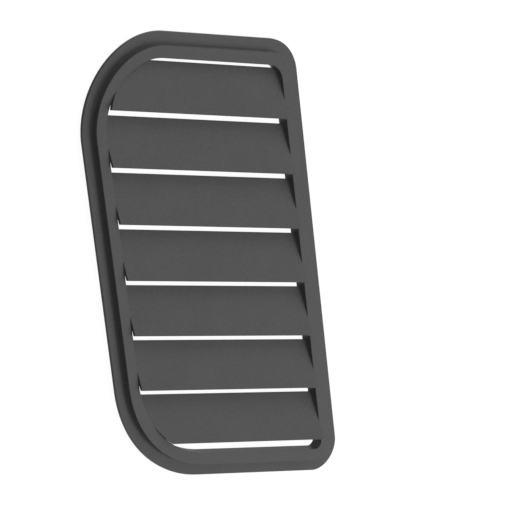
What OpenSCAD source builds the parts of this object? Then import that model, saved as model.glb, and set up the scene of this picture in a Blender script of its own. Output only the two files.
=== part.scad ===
// Louvred bonnet vent, moulded in one piece.
// +Y is the front of the car, +X its right-hand side, and +Z points up out of the bonnet.
// The origin lies under the middle of the vent, level with the foot of its ring.

/* [Outline] */
// Length of the flange along the car
vent_l = 358; // [300:1:440]
// Width of the flange along a slat
vent_w = 240; // [190:1:300]
// Lean of both sides away from the car's length, in degrees
side_lean = 23; // [0:1:30]
// Corner radius of the flange at the front left
front_left_r = 66; // [30:1:80]
// Corner radius of the flange at the front right
front_right_r = 38; // [24:1:60]
// Corner radius of the flange at the rear right
rear_right_r = 21; // [14:1:40]
// Corner radius of the flange at the rear left
rear_left_r = 115; // [60:1:130]

/* [Flange] */
// Width of the flange outside the ring
flange_w = 10; // [6:0.5:13]
// Thickness of the flange
flange_t = 2.5; // [1.5:0.1:4]

/* [Ring] */
// Width of the ring's flat face
ring_w = 10; // [5:0.5:10]
// Height of the ring's face above the flange
ring_rise = 5; // [2:0.1:8]
// Depth of the ring's foot below the flange, which drops into the cut-out
foot_h = 2.5; // [1:0.1:5]
// Corner radius of the louvre opening at the rear right, its tightest corner
opening_rear_right_r = 5; // [2:0.5:12]

/* [Slats] */
// Number of slats
slat_count = 7; // [4:1:8]
// Thickness of a slat, square to its surface
slat_t = 2.5; // [1.5:0.1:3]
// Height of each slat's rear lip above the ring's face
lip_rise = 3.2; // [1:0.1:6]
// Depth of each slat's front edge below the ring's face
front_drop = 5.3; // [3:0.1:6]
// Gap between one slat's lip and the next slat's front edge, in plan
slat_gap = 5.6; // [4.5:0.1:10]
// Gap between the front wall of the opening and the first slat, in plan
front_gap = 3; // [2:0.1:8]
// Gap between the last slat's lip and the rear wall of the opening, in plan
rear_gap = 9.1; // [5:0.1:15]

/* [Hidden] */
$fn = 180;

plastic = "#565656";
overlap = 1;
// A corner's disc stands this much proud, so that it crosses the straight edges cleanly
arc_proud = 0.005;
disc_lap = 0.06;

// Heights above the ring's foot
flange_z = foot_h;
flange_top_z = flange_z + flange_t;
face_z = flange_top_z + ring_rise;
lip_z = face_z + lip_rise;

// The opening, and the slats shared out along it
opening_inset = flange_w + ring_w;
opening_l = vent_l - 2 * opening_inset;
slat_run = (opening_l - front_gap - rear_gap - (slat_count - 1) * slat_gap) / slat_count;
slat_pitch = slat_run + slat_gap;
slat_angle = atan((lip_rise + front_drop) / slat_run);
slat_l = slat_run / cos(slat_angle);
last_lip_y = -opening_l / 2 + rear_gap;

// The four corners clockwise from the front left, as signs of x and y
CORNERS = [[-1, 1], [1, 1], [1, -1], [-1, -1]];
flange_radii = [front_left_r, front_right_r, rear_right_r, rear_left_r];
ring_radii = [for (r = flange_radii) r - flange_w];
opening_radii = [
    front_left_r - opening_inset,
    front_right_r - opening_inset,
    opening_rear_right_r,
    rear_left_r - opening_inset
];

// The corner where two straight edges would meet, once each is moved inwards by inset
function vertex(corner, inset) = [
    corner.x * (vent_w / 2 - inset / cos(side_lean)) - corner.y * (vent_l / 2 - inset) * tan(side_lean),
    corner.y * (vent_l / 2 - inset)
];

// A corner's arc: its centre, and the directions from there that are square to the side and to the
// front or rear edge
function arc_centre(corner, inset, r) = vertex(corner, inset + r);
function side_normal(corner) = corner.x * [cos(side_lean), sin(side_lean)];
function cross_normal(corner) = [0, corner.y];

// The two points where the arc runs into the straight edges, in clockwise order
function arc_ends(corner, inset, r) =
    let (side_end = arc_centre(corner, inset, r) + r * side_normal(corner))
    let (cross_end = arc_centre(corner, inset, r) + r * cross_normal(corner))
    corner.x * corner.y < 0 ? [side_end, cross_end] : [cross_end, side_end];

// The widest points of the flange lie on the front left and the rear right arcs
left_x = arc_centre(CORNERS[0], 0, front_left_r).x - front_left_r;
right_x = arc_centre(CORNERS[2], 0, rear_right_r).x + rear_right_r;
middle_x = (left_x + right_x) / 2;

// The part of a corner's disc that fills its arc, and reaches a little way along both straight edges
module corner_disc(corner, inset, r) {
    side = side_normal(corner);
    cross = cross_normal(corner);
    translate(arc_centre(corner, inset, r))
    intersection() {
        circle(r = r + arc_proud);
        polygon(2 * r * [[0, 0], side - disc_lap * cross, side + cross, cross - disc_lap * side]);
    }
}

// A leaning four-sided outline with a radius of its own at each corner
module outline(inset, radii) {
    translate([-middle_x, 0]) {
        polygon([for (i = [0 : 3]) each arc_ends(CORNERS[i], inset, radii[i])]);
        for (i = [0 : 3]) corner_disc(CORNERS[i], inset, radii[i]);
    }
}

module flange() {
    color(plastic)
    translate([0, 0, flange_z])
    linear_extrude(height = flange_t)
    difference() {
        outline(0, flange_radii);
        outline(opening_inset, opening_radii);
    }
}

module ring() {
    color(plastic)
    linear_extrude(height = face_z)
    difference() {
        outline(flange_w, ring_radii);
        outline(opening_inset, opening_radii);
    }
}

// One slat across the whole width, with the top of its lip at y = 0
module slat_plate() {
    translate([-vent_w, 0, lip_z])
    rotate([-slat_angle, 0, 0])
    translate([0, 0, -slat_t])
    cube([2 * vent_w, slat_l, slat_t]);
}

// The slats end flush with the walls of the opening
module slats() {
    color(plastic)
    intersection() {
        union() {
            for (i = [0 : slat_count - 1]) translate([0, last_lip_y + i * slat_pitch, 0]) slat_plate();
        }
        linear_extrude(height = lip_z + overlap) outline(opening_inset, opening_radii);
    }
}

module vent() {
    union() {
        flange();
        ring();
        slats();
    }
}

vent();
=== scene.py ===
import math

import bmesh
import bpy
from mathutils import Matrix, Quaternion, Vector


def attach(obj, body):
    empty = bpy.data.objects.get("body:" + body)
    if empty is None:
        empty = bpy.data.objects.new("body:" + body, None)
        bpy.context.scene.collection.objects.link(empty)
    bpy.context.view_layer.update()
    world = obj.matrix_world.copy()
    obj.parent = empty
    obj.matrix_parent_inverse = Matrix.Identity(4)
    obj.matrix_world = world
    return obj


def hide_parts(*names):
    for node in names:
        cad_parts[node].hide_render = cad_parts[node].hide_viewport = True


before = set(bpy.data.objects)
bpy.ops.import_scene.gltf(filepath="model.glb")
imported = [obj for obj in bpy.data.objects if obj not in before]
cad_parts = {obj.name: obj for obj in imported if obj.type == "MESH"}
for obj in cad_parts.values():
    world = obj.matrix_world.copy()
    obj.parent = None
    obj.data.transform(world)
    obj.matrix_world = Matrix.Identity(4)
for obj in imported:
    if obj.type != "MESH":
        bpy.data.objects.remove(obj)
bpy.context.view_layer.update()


# Frame of the vent: a flat flange that lies on the bonnet, and a raised ring around the opening.
# It is one injection moulding in dark grey ABS with the slats, with softened edges all round.
# The flange's underside is bonded to the bonnet, and the ring's foot drops into the cut-out.
MM = 0.001
flange_length = 358
flange_width = 240
side_lean = math.radians(23)
flange_edge = 10
ring_edge = 10
opening_inset = flange_edge + ring_edge
foot_height = 2.5
flange_thickness = 2.5
ring_rise = 5
flange_top = foot_height + flange_thickness
ring_face = flange_top + ring_rise
edge_rounding = 0.25
root_rounding = 0.3
arc_steps = 80
rounding_steps = 6

# Clockwise from the front left, as signs of x and y, with the flange's and the opening's radii
corner_signs = ((-1, 1), (1, 1), (1, -1), (-1, -1))
flange_radii = (66, 38, 21, 115)
opening_radii = (46, 18, 5, 95)


def corner_centre(signs, inset, radius):
    across, along = signs
    reach = flange_width / 2 - (inset + radius) / math.cos(side_lean)
    y = flange_length / 2 - inset - radius
    return Vector((across * reach - along * y * math.tan(side_lean), along * y))


# The widest points lie on the front left and the rear right arcs, and x = 0 is midway between them
left_x = corner_centre(corner_signs[0], 0, flange_radii[0]).x - flange_radii[0]
right_x = corner_centre(corner_signs[2], 0, flange_radii[2]).x + flange_radii[2]
middle = Vector(((left_x + right_x) / 2, 0))


def outline(inset):
    """The points of the leaning outline, moved inwards by inset, clockwise from the front left."""
    points = []
    for signs, flange_radius, opening_radius in zip(corner_signs, flange_radii, opening_radii):
        inner_share = max(0, inset - flange_edge) / ring_edge
        ring_radius = flange_radius - flange_edge
        radius = flange_radius - inset
        # Across the ring's face the radius runs to the opening's own, rounder at the rear right
        if inner_share > 0:
            radius = ring_radius + inner_share * (opening_radius - ring_radius)
        centre = corner_centre(signs, inset, radius)
        side = math.atan2(signs[0] * math.sin(side_lean), signs[0] * math.cos(side_lean))
        cross = math.radians(90) * signs[1]
        first, last = (side, cross) if signs[0] * signs[1] < 0 else (cross, side)
        turn = (first - last) % math.tau
        for step in range(arc_steps + 1):
            angle = first - turn * step / arc_steps
            arm = radius * Vector((math.cos(angle), math.sin(angle)))
            points.append(centre - middle + arm)
    return points


def softened(corners):
    """A closed section through right-angled corners (inset, height, rounding), with an arc at each."""
    section = []
    for i, (u, z, rounding) in enumerate(corners):
        here = Vector((u, z))
        back = (Vector(corners[i - 1][:2]) - here).normalized()
        ahead = (Vector(corners[(i + 1) % len(corners)][:2]) - here).normalized()
        centre = here + rounding * (back + ahead)
        for step in range(rounding_steps + 1):
            angle = math.pi / 2 * step / rounding_steps
            section.append(centre - rounding * (math.sin(angle) * back + math.cos(angle) * ahead))
    return section


frame_section = softened([
    (0, foot_height, edge_rounding),
    (0, flange_top, edge_rounding),
    (flange_edge, flange_top, root_rounding),
    (flange_edge, ring_face, edge_rounding),
    (opening_inset, ring_face, edge_rounding),
    (opening_inset, 0, edge_rounding),
    (flange_edge, 0, edge_rounding),
    (flange_edge, foot_height, edge_rounding),
])


def closed_mesh(name, loops, ring_closes):
    """Skins the loops of points, in millimetres, and closes the skin on itself or with two end faces."""
    shape = bmesh.new()
    rows = [[shape.verts.new(Vector(p) * MM) for p in loop] for loop in loops]
    pairs = list(zip(rows, rows[1:]))
    if ring_closes:
        pairs.append((rows[-1], rows[0]))
    for low, high in pairs:
        for i in range(len(low)):
            shape.faces.new((low[i - 1], low[i], high[i], high[i - 1]))
    if not ring_closes:
        shape.faces.new(rows[0])
        shape.faces.new(rows[-1])
    bmesh.ops.recalc_face_normals(shape, faces=shape.faces)
    mesh = bpy.data.meshes.new(name)
    shape.to_mesh(mesh)
    shape.free()
    made = bpy.data.objects.new(name, mesh)
    bpy.context.scene.collection.objects.link(made)
    return made


def lifted(points, z):
    return [(p.x, p.y, z) for p in points]


vent = closed_mesh("vent_moulding", [lifted(outline(s.x), s.y) for s in frame_section], True)


def linear(colour):
    """An sRGB hex colour as linear values."""
    parts = [int(colour[i:i + 2], 16) / 255 for i in (1, 3, 5)]
    return [p / 12.92 if p <= 0.04045 else ((p + 0.055) / 1.055) ** 2.4 for p in parts] + [1]


def add_node(tree, kind, sockets=None, **settings):
    """Adds a node with its settings. A socket's value is a number or the output that feeds it."""
    node = tree.nodes.new(kind)
    for name, value in settings.items():
        setattr(node, name, value)
    for name, value in (sockets or {}).items():
        if isinstance(value, bpy.types.NodeSocket):
            tree.links.new(value, node.inputs[name])
        else:
            node.inputs[name].default_value = value
    return node


# Dark grey ABS, injection moulded against a spark-eroded tool: the eye gets a matt, even surface
# with a fine grain and a faint mottle from the flow of the plastic, and a sheen only where it is
# seen edge on. The real grain is about 0.2 mm, too fine to show, so it is drawn at about 1.7 mm.
abs_dark = linear("#515151")
abs_light = linear("#5b5b5b")
abs_ior = 1.5
abs_specular = 0.2
smoothest = 0.46
roughest = 0.54
grain_size = 1.7
grain_depth = 0.08
grain_strength = 0.5
grain_detail = 2
grain_falloff = 0.6
grain_valley = 0.3
grain_peak = 0.7
flow_size = 28
flow_share = 0.3
flow_detail = 3
flow_falloff = 0.5
darkest_mottle = 0.5
lightest_mottle = 0.8
moulded_abs = bpy.data.materials.new("moulded_abs_fine_grain")
moulded_abs.use_nodes = True
tree = moulded_abs.node_tree
tree.nodes.clear()
place = add_node(tree, "ShaderNodeTexCoord").outputs["Object"]
grain = add_node(tree, "ShaderNodeTexNoise", {
    "Vector": place, "Scale": 1 / (grain_size * MM), "Detail": grain_detail, "Roughness": grain_falloff})
flow = add_node(tree, "ShaderNodeTexNoise", {
    "Vector": place, "Scale": 1 / (flow_size * MM), "Detail": flow_detail, "Roughness": flow_falloff})
mottle = add_node(tree, "ShaderNodeMath", {
    0: flow.outputs["Fac"], 1: flow_share, 2: grain.outputs["Fac"]}, operation="MULTIPLY_ADD")
tone = add_node(tree, "ShaderNodeMapRange", {
    "Value": mottle.outputs["Value"], "From Min": darkest_mottle, "From Max": lightest_mottle})
colour = add_node(tree, "ShaderNodeMix", {
    "Factor": tone.outputs["Result"], "A": abs_dark, "B": abs_light}, data_type="RGBA")
rough = add_node(tree, "ShaderNodeMapRange", {
    "Value": grain.outputs["Fac"], "From Min": grain_valley, "From Max": grain_peak,
    "To Min": smoothest, "To Max": roughest})
bump = add_node(tree, "ShaderNodeBump", {
    "Height": grain.outputs["Fac"], "Strength": grain_strength, "Distance": grain_depth * MM})
surface = add_node(tree, "ShaderNodeBsdfPrincipled", {
    "Base Color": colour.outputs["Result"], "Roughness": rough.outputs["Result"],
    "Normal": bump.outputs["Normal"], "IOR": abs_ior, "Specular IOR Level": abs_specular})
add_node(tree, "ShaderNodeOutputMaterial", {"Surface": surface.outputs["BSDF"]})
vent.data.materials.append(moulded_abs)


# Slats: seven tilted ABS blades right across the opening, moulded in one with the ring.
# Each rises to a lip at the rear, above the ring's face, and dips under the lip of the slat in front,
# so air leaves the bonnet between them and rain runs off them.
slat_count = 7
slat_thickness = 2.5
lip_rise = 3.2
front_drop = 5.3
slat_gap = 5.6
front_gap = 3
rear_gap = 9.1
slat_rounding = 0.3
slat_reach = 250
opening_length = flange_length - 2 * opening_inset
lip_height = ring_face + lip_rise
slat_run = (opening_length - front_gap - rear_gap - (slat_count - 1) * slat_gap) / slat_count
slat_pitch = slat_run + slat_gap
slat_tilt = math.atan((lip_rise + front_drop) / slat_run)
slat_depth = slat_run / math.cos(slat_tilt)
last_lip = -opening_length / 2 + rear_gap
slat_values = {
    "Slat count": slat_count,
    "Pitch": slat_pitch * MM,
    "Last lip": last_lip * MM,
    "Lip height": lip_height * MM,
    "Tilt": slat_tilt,
    "Depth": slat_depth * MM,
    "Thickness": slat_thickness * MM,
    "Rounding": slat_rounding * MM,
    "Reach": slat_reach * MM,
}

row = bpy.data.node_groups.new("row_of_slats", "GeometryNodeTree")
for name, value in slat_values.items():
    kind = "NodeSocketInt" if isinstance(value, int) else "NodeSocketFloat"
    row.interface.new_socket(name, in_out="INPUT", socket_type=kind)
row.interface.new_socket("Slats", in_out="OUTPUT", socket_type="NodeSocketGeometry")
given = add_node(row, "NodeGroupInput").outputs
half_depth = add_node(row, "ShaderNodeMath", {0: given["Depth"], 1: 0.5}, operation="MULTIPLY")
half_thickness = add_node(row, "ShaderNodeMath", {
    0: given["Thickness"], 1: -0.5}, operation="MULTIPLY")
back = add_node(row, "ShaderNodeMath", {0: given["Reach"], 1: -1}, operation="MULTIPLY")
tilt = add_node(row, "ShaderNodeMath", {0: given["Tilt"], 1: -1}, operation="MULTIPLY")
section = add_node(row, "GeometryNodeCurvePrimitiveQuadrilateral", {
    "Width": given["Depth"], "Height": given["Thickness"]})
section = add_node(row, "GeometryNodeFilletCurve", {
    "Curve": section.outputs[0], "Count": rounding_steps, "Radius": given["Rounding"]}, mode="POLY")
start = add_node(row, "ShaderNodeCombineXYZ", {"X": back.outputs[0]})
end = add_node(row, "ShaderNodeCombineXYZ", {"X": given["Reach"]})
line = add_node(row, "GeometryNodeCurvePrimitiveLine", {
    "Start": start.outputs[0], "End": end.outputs[0]})
blade = add_node(row, "GeometryNodeCurveToMesh", {
    "Curve": line.outputs[0], "Profile Curve": section.outputs[0], "Fill Caps": True})
seat = add_node(row, "ShaderNodeCombineXYZ", {
    "Y": half_depth.outputs[0], "Z": half_thickness.outputs[0]})
blade = add_node(row, "GeometryNodeTransform", {
    "Geometry": blade.outputs[0], "Translation": seat.outputs[0]})
lean = add_node(row, "ShaderNodeCombineXYZ", {"X": tilt.outputs[0]})
height = add_node(row, "ShaderNodeCombineXYZ", {"Z": given["Lip height"]})
blade = add_node(row, "GeometryNodeTransform", {
    "Geometry": blade.outputs[0], "Rotation": lean.outputs[0], "Translation": height.outputs[0]})
first = add_node(row, "ShaderNodeCombineXYZ", {"Y": given["Last lip"]})
step = add_node(row, "ShaderNodeCombineXYZ", {"Y": given["Pitch"]})
spots = add_node(row, "GeometryNodeMeshLine", {
    "Count": given["Slat count"], "Start Location": first.outputs[0], "Offset": step.outputs[0]})
copies = add_node(row, "GeometryNodeInstanceOnPoints", {
    "Points": spots.outputs[0], "Instance": blade.outputs[0]})
real = add_node(row, "GeometryNodeRealizeInstances", {"Geometry": copies.outputs[0]})
dressed = add_node(row, "GeometryNodeSetMaterial", {
    "Geometry": real.outputs[0], "Material": moulded_abs})
add_node(row, "NodeGroupOutput", {"Slats": dressed.outputs[0]})


def plain_mesh(made):
    """Turns what the modifiers give into the object's own mesh, and removes them."""
    evaluated = made.evaluated_get(bpy.context.evaluated_depsgraph_get())
    mesh = bpy.data.meshes.new_from_object(evaluated)
    made.modifiers.clear()
    made.data = mesh


slats = bpy.data.objects.new("slats", bpy.data.meshes.new("slats"))
bpy.context.scene.collection.objects.link(slats)
pattern = slats.modifiers.new("row_of_slats", "NODES")
pattern.node_group = row
for item in row.interface.items_tree:
    if item.in_out == "INPUT":
        pattern[item.identifier] = slat_values[item.name]
plain_mesh(slats)

# The slats are cut to the opening a hair inside the ring, and fused with it into one closed moulding
weld = 0.02
overshoot = 1
opening = outline(opening_inset - weld)
opening_walls = [lifted(opening, -overshoot), lifted(opening, lip_height + overshoot)]
cutter = closed_mesh("opening", opening_walls, False)
for made, other, how in ((slats, cutter, "INTERSECT"), (vent, slats, "UNION")):
    cut = made.modifiers.new("fuse", "BOOLEAN")
    cut.operation = how
    cut.solver = "EXACT"
    cut.object = other
    plain_mesh(made)
bpy.data.objects.remove(cutter)
bpy.data.objects.remove(slats)
facet_angle = math.radians(4)
vent.data.shade_smooth()
vent.data.set_sharp_from_angle(angle=facet_angle)
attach(vent, "root")
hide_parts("vent")


# Table: a plain pale matt sheet that the vent lies on. The camera and reflections see it white, with
# the vent's faint shadow on it, while its pale grey passes a little light on to the vent's walls.
table_half = 4000
table_pale = linear("#848484")
table_in_view = linear("#636363")
table_white = 0.955
table_signs = ((-1, -1), (1, -1), (1, 1), (-1, 1))
table_corners = [Vector((x, y, 0)) * table_half * MM for x, y in table_signs]
table_mesh = bpy.data.meshes.new("table")
table_mesh.from_pydata(table_corners, [], [(0, 1, 2, 3)])
table = bpy.data.objects.new("table", table_mesh)
bpy.context.scene.collection.objects.link(table)
white_sheet = bpy.data.materials.new("matt_white_sheet")
white_sheet.use_nodes = True
tree = white_sheet.node_tree
tree.nodes.clear()
path = add_node(tree, "ShaderNodeLightPath").outputs
seen = add_node(tree, "ShaderNodeMath", {
    0: path["Is Camera Ray"], 1: path["Is Glossy Ray"]}, operation="MAXIMUM")
seen = add_node(tree, "ShaderNodeMath", {
    0: seen.outputs[0], 1: path["Is Transmission Ray"]}, operation="MAXIMUM")
shade = add_node(tree, "ShaderNodeMix", {
    "Factor": seen.outputs[0], "A": table_pale, "B": table_in_view}, data_type="RGBA")
glow = add_node(tree, "ShaderNodeMath", {0: seen.outputs[0], 1: table_white}, operation="MULTIPLY")
paper = add_node(tree, "ShaderNodeBsdfDiffuse", {"Color": shade.outputs["Result"]})
shine = add_node(tree, "ShaderNodeEmission", {"Strength": glow.outputs[0]})
both = add_node(tree, "ShaderNodeAddShader", {0: paper.outputs[0], 1: shine.outputs[0]})
add_node(tree, "ShaderNodeOutputMaterial", {"Surface": both.outputs[0]})
table_mesh.materials.append(white_sheet)


# Light: five soft boxes in a dim, even studio that the camera and reflections see white. Most of them
# stand on the vent's right and in front, so its top faces are evenly lit and its left walls dark.
# Each has an azimuth from the car's right towards its front, an elevation, and a power in watts.
soft_boxes = (
    ("box_low_right", 25, 15, 46),
    ("box_middle_right", 332, 38, 35),
    ("box_high_right", 350, 62, 29),
    ("box_high_left", 185, 58, 24),
    ("box_low_front", 90, 22, 40),
)
box_distance = 4.4
box_size = 2
studio_level = 0.1
for name, azimuth, elevation, power in soft_boxes:
    around = math.radians(azimuth)
    above = math.radians(elevation)
    level_arm = Vector((math.cos(around), math.sin(around), 0))
    arm = level_arm * math.cos(above) + Vector((0, 0, math.sin(above)))
    lamp = bpy.data.lights.new(name, "AREA")
    lamp.shape = "SQUARE"
    lamp.size = box_size
    lamp.energy = power
    softbox = bpy.data.objects.new(name, lamp)
    softbox.location = arm * box_distance
    softbox.rotation_mode = "QUATERNION"
    softbox.rotation_quaternion = arm.to_track_quat("Z", "Y")
    bpy.context.scene.collection.objects.link(softbox)
studio = bpy.data.worlds.new("studio")
studio.use_nodes = True
tree = studio.node_tree
tree.nodes.clear()
path = add_node(tree, "ShaderNodeLightPath").outputs
seen = add_node(tree, "ShaderNodeMath", {
    0: path["Is Camera Ray"], 1: path["Is Glossy Ray"]}, operation="MAXIMUM")
seen = add_node(tree, "ShaderNodeMath", {
    0: seen.outputs[0], 1: path["Is Transmission Ray"]}, operation="MAXIMUM")
level = add_node(tree, "ShaderNodeMapRange", {"Value": seen.outputs[0], "To Min": studio_level})
air = add_node(tree, "ShaderNodeBackground", {"Color": linear("#ffffff"), "Strength": level.outputs[0]})
add_node(tree, "ShaderNodeOutputWorld", {"Surface": air.outputs[0]})
bpy.context.scene.world = studio
bpy.context.scene.view_settings.view_transform = "Standard"


# Camera: a long lens on the vent's left and a little in front, looking down on it, and rolled so that
# the car's front is up in the picture.
camera_target = Vector((41.145, 1.297, 5)) * MM
camera_distance = 3127.44 * MM
camera_azimuth = math.radians(255.6978)
camera_elevation = math.radians(43.3123)
camera_roll = math.radians(111.2001)
camera_data = bpy.data.cameras.new("camera")
camera_data.sensor_width = 36
camera_data.lens = 273.6713
camera_data.clip_end = 50
camera = bpy.data.objects.new("camera", camera_data)
bpy.context.scene.collection.objects.link(camera)
towards = Vector((
    math.sin(camera_azimuth) * math.cos(camera_elevation),
    -math.cos(camera_azimuth) * math.cos(camera_elevation),
    math.sin(camera_elevation),
))
camera.location = camera_target + towards * camera_distance
camera.rotation_mode = "QUATERNION"
camera.rotation_quaternion = Quaternion(towards, camera_roll) @ (-towards).to_track_quat("-Z", "Y")
bpy.context.scene.camera = camera
